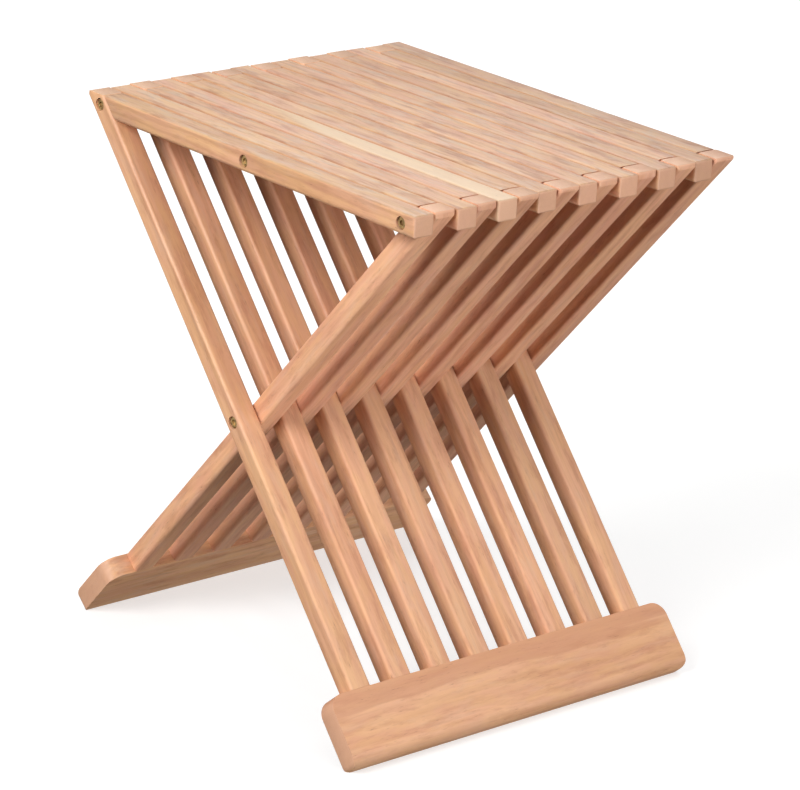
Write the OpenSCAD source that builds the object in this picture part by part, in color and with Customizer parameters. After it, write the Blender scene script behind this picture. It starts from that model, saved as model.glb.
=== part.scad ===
// Folding slatted stool: legs and seat slats lie side by side in layers and
// turn on round rods, so that the seat lifts in the middle and the feet close.
// X runs front to back of the seat, Y across it, Z up from the floor.

/* [Seat] */
// Distance between the two hinge rods at the ends of the seat
pin_span = 375; // [340:1:400]
// Depth of a seat slat, from its top face to its underside
rail_h = 17.5; // [15:0.5:20]
// Reach of a seat slat past its hinge rod
rail_reach = 16.5; // [13:0.5:18]
// Gap between the cut end of a seat slat and the leg it bears on
stop_gap = 1; // [0.6:0.1:1.5]

/* [Slats] */
// Number of slat layers across the stool, legs of both frames counted
layers = 16; // [12:2:20]
// Thickness of every slat, across the stool
slat_t = 19.8; // [18:0.1:24]
// Running gap between neighbouring slats
layer_gap = 0.85; // [0.4:0.05:1.2]
// Radius of the rounded long edges of a leg
edge_r = 2.6; // [1:0.1:3]
// Radius of the two upper long edges of a seat slat
seat_edge_r = 2; // [1:0.1:3]
// Radius of its two lower long edges
under_edge_r = 3.6; // [1:0.1:4.5]
// Radius of the rounded edges round the end of a slat
end_r = 2; // [1:0.1:2.5]
// Largest difference in length between one slat end and the next
end_spread = 2.4; // [0:0.1:2.5]

/* [Legs] */
// Depth of a leg, square to its length
leg_w = 18; // [15:0.5:20]
// Drop from the seat rods to the crossing rod
cross_drop = 214.5; // [200:0.5:230]
// Length of a leg from the crossing rod to the lower edge of its foot board
foot_reach = 292.5; // [270:0.5:310]
// How much the sharp tip at the top of a leg is blunted
tip_cut = 2.6; // [1:0.1:4]

/* [Foot boards] */
// Height of a foot board, along the legs
board_h = 58.5; // [50:0.5:70]
// Overhang of a foot board past its outermost legs
board_over = 23.5; // [15:0.5:30]
// Radius of the two upper corners
board_top_r = 13; // [8:0.5:18]
// Radius of the two lower corners
board_low_r = 5; // [3:0.5:8]
// Radius of the long outer lower edge
board_outer_r = 10; // [6:0.5:12]
// Depth of the flat land that the lowest edge is planed to
land_depth = 1.5; // [1:0.1:3]

/* [Hardware] */
// Radius of the hinge rods
rod_r = 3; // [2.5:0.1:3.2]
// Radial clearance of a rod, a sleeve or a dowel in its bore
bore_gap = 0.06; // [0.03:0.01:0.1]
// Radius of the head of a sleeve nut
head_r = 4.7; // [4.4:0.1:5.5]
// Thickness of that head
head_t = 2.4; // [2:0.1:3]
// Radius of its sleeve, which fits over the end of a rod
sleeve_r = 3.9; // [3.7:0.1:4.2]
// Length of its sleeve
sleeve_len = 10; // [8:1:11]
// Depth of the counterbore that a head sits in
counter_depth = 4; // [3.5:0.1:4.5]
// Radius of the dowels between a leg and its foot board
dowel_r = 4; // [3:0.1:5]
// Length of those dowels
dowel_len = 40; // [30:1:50]

/* [Hidden] */
$fn = 48;
pairs = layers / 2;                        // slats of each of the four kinds
pitch = slat_t + layer_gap;
half_span = pin_span / 2;
lean = atan(cross_drop / half_span);       // slope of a leg above the floor
pin_to_cross = norm([half_span, cross_drop]);
cross_z = foot_reach * sin(lean) + leg_w / 2 * cos(lean) - land_depth;
seat_pin_z = cross_z + cross_drop;         // seat rods above the floor
seat_top = seat_pin_z + rail_h / 2;
shoulder = foot_reach - board_h;           // crossing rod to top of foot board
tip_x = half_span + (leg_w / 2 + rail_h / 2 * cos(lean)) / sin(lean) - tip_cut;
board_len = (layers - 2) * pitch + slat_t + 2 * board_over;
frame_y = -pitch / 2;                      // middle of the front frame's legs
outer_y = (layers - 1) / 2 * pitch + slat_t / 2;
counter_r = head_r + 0.5;                  // clear of the head all round
head_gap = 0.3;                            // head above its counterbore floor
head_y = outer_y - counter_depth + head_gap;
head_bevel = 0.6;
rod_half = head_y - 0.5;                   // a rod stops just short of the heads
end_room = 1;                              // bores run past sleeves and dowels
socket_r = 2.4;                            // hexagon socket, corner radius
socket_depth = 1.6;
big = 600;                                 // larger than the whole stool

// Middle of a layer, 0 being the nearest (-Y) one. Front legs and the slats
// hinged at the front edge use the even layers, the other two kinds the odd.
function layer_y(k) = (k - (layers - 1) / 2) * pitch;
function even_layer(i) = 2 * (i - 1);
function odd_layer(i) = 2 * i - 1;
// How much the end of the slat in layer k falls short of the longest one
function end_trim(k) = end_spread * (1 + sin(137 * k)) / 2;
wood = ["#c99a6b", "#d2a679", "#bf8d60", "#cfa070"];
function wood_tint(k) = wood[k % len(wood)];

// ---- placing -------------------------------------------------------------

// Local X runs down a front leg from the crossing rod, local Z is its upper face
module along_front_leg() { translate([0, 0, cross_z]) rotate([0, lean, 0]) children(); }

// The rear frame is the front frame mirrored front to back
module mirrored() { mirror([1, 0, 0]) children(); }

// A cylinder across the stool, centred on the local origin
module across(r, l) { rotate([90, 0, 0]) cylinder(r = r, h = l, center = true); }

// What a rounded arris along +Z takes off a corner that points to -X -Y
module corner_cut(r, l) {
    translate([0, 0, -l / 2]) difference() {
        translate([-1, -1, 0]) cube([r + 1, r + 1, l]);
        translate([r, r, -1]) cylinder(r = r, h = l + 2);
    }
}

// ---- slats ---------------------------------------------------------------

// A bar from x0 to x1 and h deep, its long edges rounded: upper_r above, lower_r below
module bar(x0, x1, h, upper_r, lower_r) {
    mid = (x0 + x1) / 2;
    difference() {
        translate([x0, -slat_t / 2, -h / 2]) cube([x1 - x0, slat_t, h]);
        for (sy = [0, 1], sz = [0, 1])
            translate([mid, 0, 0]) mirror([0, sy, 0]) mirror([0, 0, sz])
                translate([0, -slat_t / 2, -h / 2]) rotate([90, 0, 90])
                    corner_cut(sz == 0 ? lower_r : upper_r, x1 - x0 + 2);
    }
}

// What rounds the end of a seat slat or leg that runs to +X from x = 0: its two
// upright edges and its top edge
module end_cut() {
    for (sy = [0, 1]) mirror([0, sy, 0])
        translate([0, -slat_t / 2, seat_pin_z]) corner_cut(end_r, 3 * rail_h);
    translate([0, 0, seat_top]) mirror([0, 0, 1]) rotate([90, 0, 0])
        corner_cut(end_r, slat_t + 2);
}

// Bore for a rod. On an outer face, near (-1) or far (1), it also takes a
// sleeve nut, with its head in a counterbore.
module pivot_bore(side) {
    across(rod_r + bore_gap, big);
    if (side != 0) translate([0, side * slat_t / 2, 0]) {
        across(counter_r, 2 * counter_depth);
        across(sleeve_r + bore_gap, 2 * (counter_depth + sleeve_len + end_room));
    }
}

// Bore for a dowel, half in the end of a leg and half in its foot board
module dowel_bore() {
    translate([shoulder, 0, 0]) rotate([0, 90, 0])
        cylinder(r = dowel_r + bore_gap, h = dowel_len + 2 * end_room, center = true);
}

// One leg of the front frame, in its own layer at y = 0, with its tip cut
// shorter by trim. side: 0 for an inner leg, -1 or 1 for an outermost one.
module leg(side, trim) {
    difference() {
        along_front_leg() bar(-pin_to_cross - 2 * leg_w, shoulder, leg_w, edge_r, edge_r);
        translate([-big / 2, -big / 2, seat_top]) cube(big);
        translate([trim - tip_x - big, -big / 2, 0]) cube(big);
        translate([trim - tip_x, 0, 0]) end_cut();
        along_front_leg() {
            for (x = [-pin_to_cross, 0]) translate([x, 0, 0]) pivot_bore(side);
            dowel_bore();
        }
    }
}

// One slat hinged at the front edge of the seat, in its own layer at y = 0.
// Its other end is cut to the slope of the leg that it bears on.
module seat_slat(side, trim) {
    end_x = half_span + rail_reach - trim;
    difference() {
        translate([0, 0, seat_pin_z])
            bar(-half_span, end_x, rail_h, seat_edge_r, under_edge_r);
        translate([-half_span, 0, seat_pin_z]) rotate([0, lean, 0])
            translate([-big / 2, -big / 2, leg_w / 2 + stop_gap - big]) cube(big);
        translate([end_x, 0, 0]) mirror([1, 0, 0]) end_cut();
        translate([end_x, 0, seat_pin_z - rail_h / 2]) mirror([1, 0, 0]) rotate([90, 0, 0])
            corner_cut(end_r, slat_t + 2);
        for (x = [0, half_span]) translate([x, 0, seat_pin_z]) pivot_bore(side);
    }
}

module front_leg(i) {
    k = even_layer(i);
    color(wood_tint(k)) translate([0, layer_y(k), 0]) leg(k == 0 ? -1 : 0, end_trim(k));
}

module rear_leg(i) {
    k = odd_layer(i);
    color(wood_tint(k + 1)) translate([0, layer_y(k), 0])
        mirrored() leg(k == layers - 1 ? 1 : 0, end_trim(k));
}

module front_seat_slat(i) {
    k = even_layer(i);
    color(wood_tint(k + 2)) translate([0, layer_y(k), 0]) seat_slat(k == 0 ? -1 : 0, end_trim(k));
}

module rear_seat_slat(i) {
    k = odd_layer(i);
    color(wood_tint(k + 3)) translate([0, layer_y(k), 0])
        mirrored() seat_slat(k == layers - 1 ? 1 : 0, end_trim(k));
}

// ---- foot boards ---------------------------------------------------------

// Board of the front frame, centred on the middle of its own legs
module foot_board() {
    half = board_len / 2;
    difference() {
        along_front_leg() difference() {
            translate([shoulder, -half, -leg_w / 2]) cube([board_h, board_len, leg_w]);
            for (sy = [0, 1]) mirror([0, sy, 0]) {
                translate([shoulder, -half, 0]) corner_cut(board_top_r, leg_w + 2);
                translate([foot_reach, -half, 0]) mirror([1, 0, 0])
                    corner_cut(board_low_r, leg_w + 2);
            }
            translate([foot_reach, 0, leg_w / 2]) mirror([1, 0, 0]) rotate([-90, 0, 0])
                corner_cut(board_outer_r, board_len + 2);
            for (i = [1:pairs])
                translate([0, layer_y(even_layer(i)) - frame_y, 0]) dowel_bore();
        }
        translate([0, -big / 2, -big]) cube(big);
    }
}

module foot_dowels() {
    for (i = [1:pairs])
        translate([0, layer_y(even_layer(i)), 0]) along_front_leg()
            translate([shoulder, 0, 0]) rotate([0, 90, 0])
                cylinder(r = dowel_r, h = dowel_len, center = true);
}

module front_foot_board() { color("#d0a074") translate([0, frame_y, 0]) foot_board(); }
module rear_foot_board() { color("#cb9a6d") mirrored() translate([0, -frame_y, 0]) foot_board(); }
module front_foot_dowels() { color("#e3c79d") foot_dowels(); }
module rear_foot_dowels() { color("#e3c79d") mirrored() translate([0, pitch, 0]) foot_dowels(); }

// ---- rods and nuts -------------------------------------------------------

// A rod right across the stool
module rod() { across(rod_r, 2 * rod_half); }

// Sleeve nut with a socket head, on one end of a rod, side -1 near and 1 far
module nut(side) {
    translate([0, side * head_y, 0]) rotate([-90 * side, 0, 0]) difference() {
        rotate_extrude() polygon([
            [0, -sleeve_len], [sleeve_r, -sleeve_len], [sleeve_r, 0], [head_r, 0],
            [head_r, head_t - head_bevel], [head_r - head_bevel, head_t], [0, head_t]]);
        translate([0, 0, -sleeve_len - 1]) cylinder(r = rod_r + bore_gap, h = sleeve_len + 1);
        translate([0, 0, head_t - socket_depth]) cylinder(r = socket_r, h = head_t, $fn = 6);
    }
}

module at_rear_pin() { translate([-half_span, 0, seat_pin_z]) children(); }
module at_front_pin() { translate([half_span, 0, seat_pin_z]) children(); }
module at_crossing() { translate([0, 0, cross_z]) children(); }
module at_middle() { translate([0, 0, seat_pin_z]) children(); }

module rear_seat_rod() { color("silver") at_rear_pin() rod(); }
module front_seat_rod() { color("silver") at_front_pin() rod(); }
module crossing_rod() { color("silver") at_crossing() rod(); }

// The lengths of the middle rod that lie inside one kind of seat slat
module middle_lengths(first) {
    intersection() {
        for (k = [first:2:layers - 1]) translate([0, layer_y(k), 0]) across(rod_r, slat_t);
        rod();
    }
}

module middle_rod_front_slats() { color("silver") at_middle() middle_lengths(0); }
module middle_rod_rear_slats() { color("silver") at_middle() middle_lengths(1); }

module nut_pair() { for (s = [-1, 1]) nut(s); }

module rear_seat_rod_nuts() { color("goldenrod") at_rear_pin() nut_pair(); }
module front_seat_rod_nuts() { color("goldenrod") at_front_pin() nut_pair(); }
module crossing_rod_nuts() { color("goldenrod") at_crossing() nut_pair(); }
module middle_rod_near_nut() { color("goldenrod") at_middle() nut(-1); }
module middle_rod_far_nut() { color("goldenrod") at_middle() nut(1); }

// ---- nodes ---------------------------------------------------------------

for (i = [1:pairs]) {
    front_leg(i);
    rear_leg(i);
    front_seat_slat(i);
    rear_seat_slat(i);
}
front_foot_board();
rear_foot_board();
front_foot_dowels();
rear_foot_dowels();
rear_seat_rod();
front_seat_rod();
crossing_rod();
middle_rod_front_slats();
middle_rod_rear_slats();
rear_seat_rod_nuts();
front_seat_rod_nuts();
crossing_rod_nuts();
middle_rod_near_nut();
middle_rod_far_nut();
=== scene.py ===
import math
import random

import bpy
from mathutils import Euler, Matrix, Vector


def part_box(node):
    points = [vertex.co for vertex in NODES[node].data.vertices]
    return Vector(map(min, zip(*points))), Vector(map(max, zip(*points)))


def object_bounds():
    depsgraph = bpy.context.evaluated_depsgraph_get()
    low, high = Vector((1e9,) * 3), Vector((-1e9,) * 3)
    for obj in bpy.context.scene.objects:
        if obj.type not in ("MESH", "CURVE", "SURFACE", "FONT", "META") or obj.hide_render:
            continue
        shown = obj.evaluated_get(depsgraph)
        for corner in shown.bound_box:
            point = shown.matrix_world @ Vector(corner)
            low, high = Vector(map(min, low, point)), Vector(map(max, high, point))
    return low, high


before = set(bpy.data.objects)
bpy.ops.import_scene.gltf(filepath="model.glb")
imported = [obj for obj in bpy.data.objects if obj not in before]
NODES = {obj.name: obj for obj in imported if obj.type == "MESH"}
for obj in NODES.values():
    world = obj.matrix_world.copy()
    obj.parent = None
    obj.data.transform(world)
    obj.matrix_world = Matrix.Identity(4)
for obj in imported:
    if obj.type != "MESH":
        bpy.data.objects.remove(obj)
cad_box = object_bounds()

CM = 100.0                      # material patterns are worked out in centimetres

# ---- the slope of the legs, from the frame --------------------------------


def middle_of(name):
    low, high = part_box(name)
    return (low + high) / 2


REAR_PIN = middle_of("rear_seat_rod")
CROSSING = middle_of("crossing_rod")
LEAN = math.atan2(REAR_PIN.z - CROSSING.z, CROSSING.x - REAR_PIN.x)

# How far each kind of wooden piece is turned for its grain to run along local X
# and its broad faces to look along local Z
GRAIN_TURNS = {
    "front_leg": (0, -LEAN, 0),
    "rear_leg": (0, LEAN, 0),
    "front_seat_slat": (0, 0, 0),
    "rear_seat_slat": (0, 0, 0),
    "front_foot_board": (0, -LEAN, -math.pi / 2),
    "rear_foot_board": (0, LEAN, -math.pi / 2),
}

# How strongly each kind of piece shows its streaks, from 0 to 1
FIGURE = {
    "front_leg": 0.35,
    "rear_leg": 0.35,
    "front_seat_slat": 1.0,
    "rear_seat_slat": 1.0,
    "front_foot_board": 0.25,
    "rear_foot_board": 0.6,
}
LEG_DEPTH = 0.018               # the legs and the foot boards are planed to the same depth


def bar_of(name, kind):
    """A point on the axis of a wooden bar, and its half sizes along local Y and Z."""
    low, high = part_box(name)
    centre = (low + high) / 2
    half_width = (high.y - low.y) / 2
    if "leg" in kind:
        return Vector((CROSSING.x, centre.y, CROSSING.z)), half_width, LEG_DEPTH / 2
    if "seat" in kind:
        return Vector((centre.x, centre.y, REAR_PIN.z)), half_width, (high.z - low.z) / 2
    return centre, (high.z - low.z - LEG_DEPTH * math.cos(LEAN)) / (2 * math.sin(LEAN)), LEG_DEPTH / 2

# ---- colours ---------------------------------------------------------------


def linear(red, green, blue):
    """A colour given as the screen shows it, 0 to 255, for a shader's socket."""
    def channel(value):
        value /= 255
        return value / 12.92 if value <= 0.04045 else ((value + 0.055) / 1.055) ** 2.4
    return channel(red), channel(green), channel(blue)


def shade(colour, tone, warmth=0.0):
    """A linear colour made lighter by tone, and yellower by warmth or pinker below 0."""
    red, green, blue = (part * tone for part in colour)
    return red, green * (1 + 0.35 * warmth), blue * (1 - 0.5 * warmth), 1


TEAK_PALE = linear(231, 180, 141)
TEAK_MID = linear(215, 160, 122)
TEAK_STREAK = linear(182, 122, 91)
TEAK_PORE = linear(124, 79, 55)
TEAK_PINK = linear(223, 164, 135)
TEAK_YELLOW = linear(231, 180, 130)
TEAK_GREY = linear(212, 178, 156)
TEAK_END = linear(226, 176, 145)
WEATHER_AND_SHEEN_CAST = (0.84, 0.91, 0.91, 1)      # what faces that look up lose of their red: partly weathering, partly painted sheen
SAPWOOD = linear(240, 205, 172)
HEARTWOOD = linear(198, 142, 110)
DOWEL_PALE = linear(226, 196, 150)
DOWEL_STREAK = linear(196, 158, 110)
BRASS = linear(218, 184, 124)
BRASS_TARNISH = linear(134, 102, 64)
STEEL = linear(178, 178, 174)
STEEL_DULL = linear(130, 128, 122)
FLOOR_PAINT = linear(182, 182, 181)
FLOOR_PATCH = linear(178, 178, 178)

# How often each pattern of the teak repeats along and across the grain, per centimetre, and
# the detail and roughness of its noise
PATTERNS = {
    "broad": (0.06, 0.8, 3, 0.55),
    "streaks": (0.22, 1.25, 4, 0.65),
    "fine": (0.5, 7.0, 3, 0.6),
    "fibre": (0.9, 36.0, 2, 0.6),
    "dashes": (1.4, 15.0, 1, 0.5),
    "cloud": (0.25, 1.0, 3, 0.6),
    "greyed": (0.3, 1.5, 3, 0.65),
}
STRAIGHT_PATTERNS = ("fibre", "dashes", "cloud")       # the others follow the wandering grain

# How far a face looks up, from 0 to 1, where the weathering and painted sheen start and where they are
# full
SEAT_TOP = (0.3, 0.8)
LEVEL = (0.8, 0.95)
SEAT_GLOSS = 0.5
LEG_GLOSS = 0.32

# The tone and warmth of the pieces that stand out from the rest
ODD_PIECES = {
    "front_seat_slat_3": (1.04, 0.1),
    "front_seat_slat_1": (0.99, 0.06),
    "front_seat_slat_8": (0.86, 0.0),
    "rear_seat_slat_8": (0.84, -0.05),
    "front_leg_1": (1.0, 0.02),
    "rear_leg_1": (1.12, -0.06),
    "front_foot_board": (0.95, 0.0),
}
OUTERMOST_SLATS = ("front_seat_slat_1", "rear_seat_slat_8")

# Boards cut where the wood changes colour: a border at start, in centimetres of local
# X times along plus local Y times across, which wanders by up to about a third of wander
BORDERS = {
    "front_seat_slat_3": {"along": 0.12, "across": 0.7, "start": -1.5, "width": 1.0,
                          "wander": 2.0, "colour": SAPWOOD, "share": 0.75},
    "front_foot_board": {"along": -0.02, "across": 1.0, "start": 0.5, "width": 0.5,
                         "wander": 4.0, "colour": HEARTWOOD, "share": 0.6},
}

# ---- shaders ---------------------------------------------------------------


class Shader:
    """A new material, with short calls that add its nodes and join them."""

    def __init__(self, name):
        self.material = bpy.data.materials.new(name)
        self.material.use_nodes = True
        self.tree = self.material.node_tree
        self.tree.nodes.clear()

    def add(self, kind, inputs, **settings):
        node = self.tree.nodes.new("ShaderNode" + kind)
        for name, value in settings.items():
            setattr(node, name, value)
        for name, value in inputs.items():
            if isinstance(value, bpy.types.NodeSocket):
                self.tree.links.new(value, node.inputs[name])
            else:
                node.inputs[name].default_value = value
        return node

    def math(self, operation, a, b=0.0):
        return self.add("Math", {0: a, 1: b}, operation=operation).outputs[0]

    def stretch(self, vector, along, across):
        node = self.add("VectorMath", {0: vector, 1: (along, across, across)}, operation="MULTIPLY")
        return node.outputs[0]

    def noise(self, vector, detail=2.0, roughness=0.5, output="Fac"):
        inputs = {"Vector": vector, "Scale": 1.0, "Detail": detail, "Roughness": roughness}
        return self.add("TexNoise", inputs).outputs[output]

    def ramp(self, value, low, high, to_low=0.0, to_high=1.0):
        inputs = {"Value": value, "From Min": low, "From Max": high, "To Min": to_low, "To Max": to_high}
        return self.add("MapRange", inputs, interpolation_type="SMOOTHSTEP").outputs[0]

    def mix(self, factor, a, b, blend_type="MIX"):
        node = self.add("Mix", {}, data_type="RGBA", blend_type=blend_type)
        for socket, value in ((node.inputs[0], factor), (node.inputs[6], a), (node.inputs[7], b)):
            if isinstance(value, bpy.types.NodeSocket):
                self.tree.links.new(value, socket)
            else:
                socket.default_value = value
        return node.outputs[2]

    def finish(self, colour, roughness, height, bump_strength, bump_depth, **sockets):
        bump = self.add("Bump", {"Height": height, "Strength": bump_strength, "Distance": bump_depth})
        inputs = {"Base Color": colour, "Roughness": roughness, "Normal": bump.outputs[0]}
        inputs.update((name.replace("_", " "), value) for name, value in sockets.items())
        surface = self.add("BsdfPrincipled", inputs)
        self.add("OutputMaterial", {"Surface": surface.outputs[0]})
        return self.material


def grain_space(shader, turn, centre, shift=(0, 0, 0)):
    """The place on a piece in centimetres, with local X along its grain."""
    to_grain = Euler(turn).to_matrix()
    place = Vector(shift) - to_grain @ centre * CM
    spot = shader.add("TexCoord", {}).outputs["Object"]
    inputs = {"Vector": spot, "Location": place, "Rotation": turn, "Scale": (CM, CM, CM)}
    return shader.add("Mapping", inputs).outputs[0]


def facing(shader, direction):
    """How far the surface looks that way, from -1 to 1."""
    normal = shader.add("TexCoord", {}).outputs["Normal"]
    return shader.add("VectorMath", {0: normal, 1: direction}, operation="DOT_PRODUCT").outputs["Value"]


def end_grain(shader, turn):
    """1 where the surface is cut across the grain, 0 where it runs along it."""
    along = Euler(turn).to_matrix().inverted() @ Vector((1, 0, 0))
    return shader.ramp(shader.math("ABSOLUTE", facing(shader, along)), 0.55, 0.85)


def gap_shade_mask(shader, place, half_width, half_depth):
    """1 high on the sides of a seat slat, in the gaps between slats, where painted shade darkens them.
    """
    parts = shader.add("SeparateXYZ", {0: place}).outputs
    across = shader.math("DIVIDE", shader.math("ABSOLUTE", parts[1]), half_width * CM)
    up = shader.math("DIVIDE", parts[2], half_depth * CM)
    return shader.math("MULTIPLY", shader.ramp(across, 0.9, 0.99), shader.ramp(up, 0.2, 0.7))


def long_edges(shader, place, half_width, half_depth):
    """1 along the four rounded long edges of a bar, 0 on its faces; place is in centimetres."""
    parts = shader.add("SeparateXYZ", {0: place}).outputs
    across = shader.math("DIVIDE", shader.math("ABSOLUTE", parts[1]), half_width * CM)
    deep = shader.math("DIVIDE", shader.math("ABSOLUTE", parts[2]), half_depth * CM)
    return shader.ramp(shader.math("MINIMUM", across, deep), 0.76, 0.96)


def beyond_border(shader, place, sway, border):
    """1 on the far side of a slanting, wandering border between two colours of wood."""
    parts = shader.add("SeparateXYZ", {0: place}).outputs
    along = shader.math("MULTIPLY", parts[0], border["along"])
    across = shader.math("MULTIPLY", parts[1], border["across"])
    wander = shader.math("MULTIPLY", sway, border["wander"])
    spot = shader.math("ADD", shader.math("ADD", along, across), wander)
    return shader.ramp(spot, border["start"], border["start"] + border["width"], 0, border["share"])


def wandering(shader, grain):
    """The grain, moved a few millimetres from side to side over a hand's length."""
    wander = shader.noise(shader.stretch(grain, 0.07, 0.35), 2, output="Color")
    wander = shader.add("VectorMath", {0: wander, 1: (0.5, 0.5, 0.5)}, operation="SUBTRACT").outputs[0]
    sway = shader.stretch(wander, 0, 1.3)
    return shader.add("VectorMath", {0: grain, 1: sway}, operation="ADD").outputs[0]


def patterns_of(shader, grain, swayed, ring_scale):
    """The growth rings and the patterns of one piece, each from 0 to 1."""
    rings = {"Vector": shader.stretch(swayed, 0, 1), "Scale": ring_scale}
    wave = shader.add("TexWave", rings, wave_type="RINGS", rings_direction="X")
    patterns = {"rings": wave.outputs["Fac"]}
    for name, (along, across, detail, roughness) in PATTERNS.items():
        lines = grain if name in STRAIGHT_PATTERNS else swayed
        patterns[name] = shader.noise(shader.stretch(lines, along, across), detail, roughness)
    return patterns


def grown_colour(shader, patterns, tone, warmth, figure, drawn_out):
    """The colour of the wood: broad bands, pink and yellow clouds, rings, streaks and faded patches."""
    broad = shader.ramp(patterns["broad"], 0.34, 0.66)
    body = shader.mix(broad, shade(TEAK_PALE, tone, warmth), shade(TEAK_MID, tone, warmth))
    cloud = shader.ramp(patterns["cloud"], 0.38, 0.62)
    tint = shader.mix(cloud, shade(TEAK_PINK, tone), shade(TEAK_YELLOW, tone))
    body = shader.mix(0.25 + 0.25 * figure, body, tint)
    streak_colour = shade(TEAK_STREAK, tone, warmth)
    rings = shader.ramp(patterns["rings"], 0.45, 1.0, 0.0, 0.1 + 0.12 * figure)
    body = shader.mix(rings, body, streak_colour)
    streaks = shader.ramp(patterns["streaks"], 0.47, 0.67, 0.0, 0.2 + 0.55 * figure)
    body = shader.mix(shader.math("MULTIPLY", streaks, drawn_out), body, streak_colour)
    faded = shader.ramp(patterns["greyed"], 0.48, 0.68, 0.0, 0.6 * figure)
    body = shader.mix(shader.math("MULTIPLY", faded, drawn_out), body, shade(TEAK_GREY, tone))
    fine = shader.ramp(patterns["fine"], 0.48, 0.8, 0.0, 0.2 + 0.1 * figure)
    return shader.mix(fine, body, streak_colour)


def pores_of(shader, patterns):
    """1 in the open pores, which show most in the streaks."""
    in_streaks = shader.ramp(patterns["streaks"], 0.4, 0.65, 0.1, 0.5)
    return shader.math("MULTIPLY", shader.ramp(patterns["dashes"], 0.66, 0.78), in_streaks)


def end_colour(shader, patterns, tone, warmth):
    """The colour of the wood where it is cut across the grain."""
    speckle = shader.ramp(patterns["fibre"], 0.3, 0.7, 0.0, 0.3)
    return shader.mix(speckle, shade(TEAK_END, tone), shade(TEAK_STREAK, tone, warmth))


def raised_grain(shader, patterns, pores):
    """The height of the surface: fibres and fine grain stand up and the pores lie below them."""
    fibre = shader.math("MULTIPLY", patterns["fibre"], 0.35)
    fine = shader.math("MULTIPLY", patterns["fine"], 0.5)
    return shader.math("SUBTRACT", shader.math("ADD", fibre, fine), shader.math("MULTIPLY", pores, 0.6))


def grain_spaces(shader, kind, centre, rng):
    """The place on a piece, and the same place in a log with its own pith and a slight tilt."""
    pith_angle = rng.uniform(0, 2 * math.pi)
    pith_far = rng.uniform(3, 9)
    pith = (rng.uniform(-400, 400), pith_far * math.cos(pith_angle), pith_far * math.sin(pith_angle))
    tilt = (0, rng.uniform(-0.015, 0.015), rng.uniform(-0.015, 0.015))
    turn = GRAIN_TURNS[kind]
    turned = tuple(a + b for a, b in zip(turn, tilt))
    return grain_space(shader, turn, centre), grain_space(shader, turned, centre, pith)


def teak(name, kind, tone, warmth):
    """Oiled teak for one piece: its figure, pores, edges lightened partly by wear and partly by painted
    highlight, end grain, a cast on up-facing faces that is partly weathering and partly painted sheen,
    and painted shade in the seat's gaps.
    """
    rng = random.Random(name)
    shader = Shader("teak_" + name)
    figure = FIGURE[kind]
    on_seat = "seat" in kind
    centre, half_width, half_depth = bar_of(name, kind)
    place, grain = grain_spaces(shader, kind, centre, rng)
    patterns = patterns_of(shader, grain, wandering(shader, grain), rng.uniform(0.35, 0.6))

    # Sun and water have brought out the figure on the top of the seat; the cast on faces that look up is
    # partly weathering and partly painted sheen
    weathered_and_sheen = shader.ramp(facing(shader, (0, 0, 1)), *(SEAT_TOP if on_seat else LEVEL))
    drawn_out = shader.ramp(weathered_and_sheen, 0, 1, 0.4, 1) if on_seat else 1.0
    body = grown_colour(shader, patterns, tone, warmth, figure, drawn_out)
    if name in BORDERS:
        border = BORDERS[name]
        sway = shader.math("SUBTRACT", patterns["broad"], 0.5)
        beyond = beyond_border(shader, place, sway, border)
        body = shader.mix(beyond, body, (*border["colour"], 1))

    pores = pores_of(shader, patterns)
    body = shader.mix(pores, body, shade(TEAK_PORE, tone))
    edges = long_edges(shader, place, half_width, half_depth)
    # Long edges made paler: partly rubbed wear, partly painted highlight
    rubbed_and_highlit = shader.math("MULTIPLY", edges, 0.3 * (1 - figure))
    body = shader.mix(rubbed_and_highlit, body, shade(TEAK_PALE, tone, warmth))
    cut = shader.math("MULTIPLY", end_grain(shader, GRAIN_TURNS[kind]), 0.8)
    body = shader.mix(cut, body, end_colour(shader, patterns, tone, warmth))
    # Painted sheen, partly weathering: faces that look up lose some of their red
    body = shader.mix(weathered_and_sheen, body, WEATHER_AND_SHEEN_CAST, blend_type="MULTIPLY")
    # Painted shade high in the gaps between the inner seat slats
    if on_seat and name not in OUTERMOST_SLATS:
        painted_gap_shade = shader.math("MULTIPLY", gap_shade_mask(shader, place, half_width, half_depth), 0.3)
        body = shader.mix(painted_gap_shade, body, shade(TEAK_PORE, tone))

    polish = shader.math("MULTIPLY", edges, -0.1)
    roughness = shader.math("ADD", shader.ramp(patterns["fine"], 0.3, 0.7, 0.42, 0.52), polish)
    relief = raised_grain(shader, patterns, pores)
    gloss = SEAT_GLOSS if on_seat else LEG_GLOSS
    return shader.finish(body, roughness, relief, 0.22, 0.0004, Specular_IOR_Level=gloss)


def pale_wood(name, turn, centre):
    """The beech of the dowels."""
    shader = Shader(name)
    grain = grain_space(shader, turn, centre, (0, 3, 2))
    streak = shader.noise(shader.stretch(grain, 0.6, 9.0), 3, 0.6)
    fleck = shader.noise(shader.stretch(grain, 2.0, 30.0), 2, 0.6)
    body = shader.mix(shader.ramp(streak, 0.35, 0.7), (*DOWEL_PALE, 1), (*DOWEL_STREAK, 1))
    return shader.finish(body, shader.ramp(fleck, 0.3, 0.7, 0.5, 0.65), fleck, 0.3, 0.0003)


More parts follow.
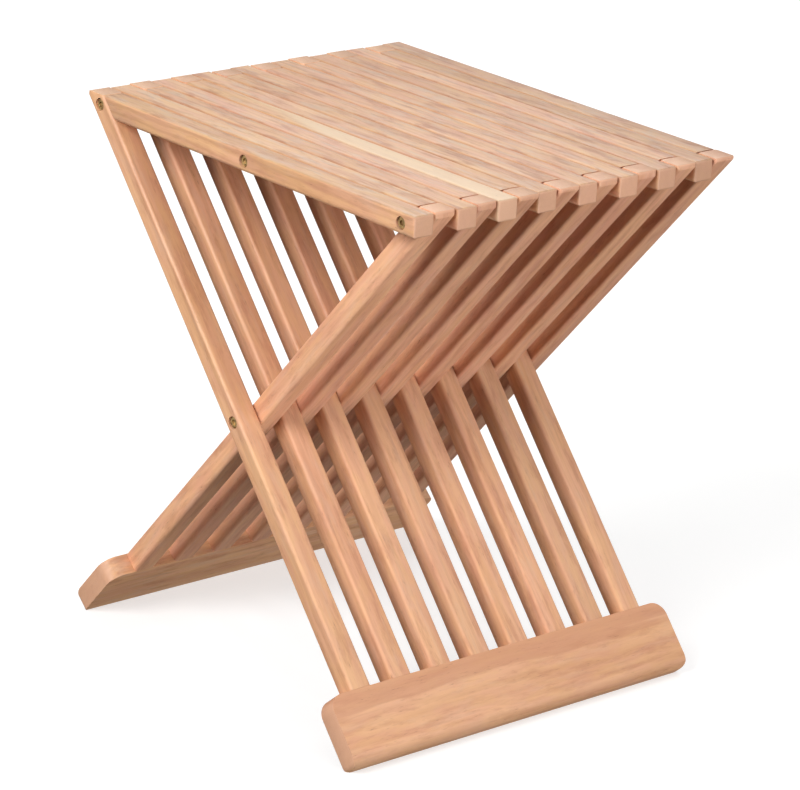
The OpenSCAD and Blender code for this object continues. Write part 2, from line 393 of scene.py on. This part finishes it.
def worn_metal(name, clean, dull, rough_low, rough_high, bareness):
    """Turned metal with a patchy film over it, thin where bareness is near 1, and tool marks."""
    shader = Shader(name)
    spot = shader.add("TexCoord", {}).outputs["Object"]
    patches = shader.noise(shader.stretch(spot, 300, 300), 4, 0.6)
    marks = shader.noise(shader.stretch(spot, 2500, 2500), 2, 0.5)
    film = shader.ramp(patches, 0.35, 0.65)
    colour = shader.mix(film, (*clean, 1), (*dull, 1))
    roughness = shader.ramp(patches, 0.3, 0.7, rough_low, rough_high)
    return shader.finish(colour, roughness, marks, 0.25, 0.0001, Metallic=bareness)


# ---- pieces ----------------------------------------------------------------


# Widths that the sharp edges of each kind of piece are rounded to
WOOD_EDGE = 0.0009
NUT_EDGE = 0.00015
ROD_EDGE = 0.0003
DOWEL_EDGE = 0.0004


def ease_edges(piece, width):
    """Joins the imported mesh's faces and rounds the edges that CAD leaves sharp."""
    weld = piece.modifiers.new("weld", "WELD")
    weld.merge_threshold = 0.00001
    flatten = piece.modifiers.new("flatten", "DECIMATE")
    flatten.decimate_type = "DISSOLVE"
    flatten.angle_limit = math.radians(0.5)
    bevel = piece.modifiers.new("ease", "BEVEL")
    bevel.width = width
    bevel.segments = 3
    bevel.limit_method = "ANGLE"
    bevel.angle_limit = math.radians(32)
    bevel.use_clamp_overlap = True
    bevel.harden_normals = True
    for face in piece.data.polygons:
        face.use_smooth = True


def dress(piece, material):
    for slot in piece.material_slots:
        slot.link = "OBJECT"
        slot.material = material


def tone_and_warmth(name, kind):
    """A piece's own shade of teak; the rear legs are a little lighter and pinker than the others."""
    if name in ODD_PIECES:
        return ODD_PIECES[name]
    rng = random.Random("tone of " + name)
    spread = 0.15 if "seat" in kind else 0.06
    tone = rng.uniform(0.91, 1.05)
    warmth = rng.uniform(-spread, spread)
    if kind == "rear_leg":
        return tone + 0.05, warmth - 0.12
    return tone, warmth


def dress_wood():
    for name, piece in NODES.items():
        kind = name.rstrip("0123456789").rstrip("_")
        if kind in GRAIN_TURNS:
            tone, warmth = tone_and_warmth(name, kind)
            dress(piece, teak(name, kind, tone, warmth))
            ease_edges(piece, WOOD_EDGE)


def dress_hardware():
    brass = worn_metal("nut_brass_worn", BRASS, BRASS_TARNISH, 0.4, 0.6, 0.55)
    steel = worn_metal("rod_steel_worn", STEEL, STEEL_DULL, 0.25, 0.45, 0.9)
    for name, piece in NODES.items():
        if "nut" in name:
            dress(piece, brass)
            ease_edges(piece, NUT_EDGE)
        elif "rod" in name:
            dress(piece, steel)
            ease_edges(piece, ROD_EDGE)
        elif "dowel" in name:
            turn = GRAIN_TURNS["front_leg" if name.startswith("front") else "rear_leg"]
            dress(piece, pale_wood(name + "_beech", turn, middle_of(name)))
            ease_edges(piece, DOWEL_EDGE)


# ---- stage, light and camera ----------------------------------------------

LAMP_FAR = 5.0
LAMP_SIZE = 3.0
# Azimuth and elevation of each soft lamp in degrees, and its power in watts
LAMPS = {
    "left_lamp": (-15, 18, 32),
    "main_lamp": (5, 35, 236),
    "top_lamp": (60, 65, 24),
    "right_lamp": (116, 20, 66),
    "back_lamp": (228, 45, 100),
    "low_lamp": (90, -25, 130),
}
SKY_ABOVE = 0.22
SKY_BELOW = 0.03
FLOOR_HALF_SIDE = 30
FLOOR_GLOW = 0.62

# The camera, in degrees and metres, and what it looks at from the middle of the stool
CAMERA_AZIMUTH = 48.668
CAMERA_ELEVATION = 19.403
CAMERA_ROLL = 3.228
CAMERA_FAR = 3.105
CAMERA_LENS = 171.3             # millimetres, on a sensor 36 mm wide
CAMERA_AIM = Vector((0.006, 0.004, -0.0057))


def make_floor(half_side):
    corners = [(-half_side, -half_side, 0), (half_side, -half_side, 0),
               (half_side, half_side, 0), (-half_side, half_side, 0)]
    mesh = bpy.data.meshes.new("floor")
    mesh.from_pydata(corners, [], [(0, 1, 2, 3)])
    floor = bpy.data.objects.new("floor", mesh)
    bpy.context.scene.collection.objects.link(floor)
    shader = Shader("floor_paint")
    spot = shader.add("TexCoord", {}).outputs["Object"]
    mottle = shader.noise(shader.stretch(spot, 3, 3), 2)
    surface = shader.mix(shader.ramp(mottle, 0.3, 0.7), (*FLOOR_PAINT, 1), (*FLOOR_PATCH, 1))
    glow = {"Emission_Color": (1, 1, 1, 1), "Emission_Strength": FLOOR_GLOW}
    mesh.materials.append(shader.finish(surface, 0.75, mottle, 0.0, 0.001, **glow))
    # The floor neither casts shadows nor lights the stool: the low lamp stands in for its bounce
    floor.visible_diffuse = False
    floor.visible_glossy = False
    floor.visible_shadow = False


def aim(thing, place, target, roll=0.0):
    turn = (target - place).to_track_quat("-Z", "Y").to_matrix().to_4x4()
    thing.matrix_world = Matrix.Translation(place) @ turn @ Matrix.Rotation(roll, 4, "Z")


def around(target, azimuth, elevation, distance):
    """A place seen from target at that azimuth, 0 being from -Y and 90 from +X, in degrees."""
    a, e = math.radians(azimuth), math.radians(elevation)
    side = Vector((math.sin(a) * math.cos(e), -math.cos(a) * math.cos(e), math.sin(e)))
    return target + side * distance


def make_lamps(target):
    for name, (azimuth, elevation, power) in LAMPS.items():
        light = bpy.data.lights.new(name, "AREA")
        light.shape = "DISK"
        light.size = LAMP_SIZE
        light.energy = power
        lamp = bpy.data.objects.new(name, light)
        bpy.context.scene.collection.objects.link(lamp)
        aim(lamp, around(target, azimuth, elevation, LAMP_FAR), target)


def make_sky():
    """A dim white room that is darker below the horizon."""
    world = bpy.data.worlds.new("studio")
    world.use_nodes = True
    tree = world.node_tree
    direction = tree.nodes.new("ShaderNodeTexCoord").outputs["Generated"]
    height = tree.nodes.new("ShaderNodeSeparateXYZ")
    tree.links.new(direction, height.inputs[0])
    strength = tree.nodes.new("ShaderNodeMapRange")
    tree.links.new(height.outputs["Z"], strength.inputs["Value"])
    ends = {"From Min": -0.1, "From Max": 0.1, "To Min": SKY_BELOW, "To Max": SKY_ABOVE}
    for name, value in ends.items():
        strength.inputs[name].default_value = value
    background = tree.nodes["Background"]
    tree.links.new(strength.outputs[0], background.inputs["Strength"])
    background.inputs["Color"].default_value = (1, 1, 1, 1)
    bpy.context.scene.world = world


def make_camera(target):
    data = bpy.data.cameras.new("camera")
    data.lens = CAMERA_LENS
    data.sensor_width = 36
    camera = bpy.data.objects.new("camera", data)
    bpy.context.scene.collection.objects.link(camera)
    place = around(target, CAMERA_AZIMUTH, CAMERA_ELEVATION, CAMERA_FAR)
    aim(camera, place, target, math.radians(CAMERA_ROLL))
    bpy.context.scene.camera = camera


dress_wood()
dress_hardware()
make_floor(FLOOR_HALF_SIDE)
middle = (cad_box[0] + cad_box[1]) / 2
make_sky()
make_lamps(middle)
make_camera(middle + CAMERA_AIM)
bpy.context.scene.view_settings.view_transform = "Standard"
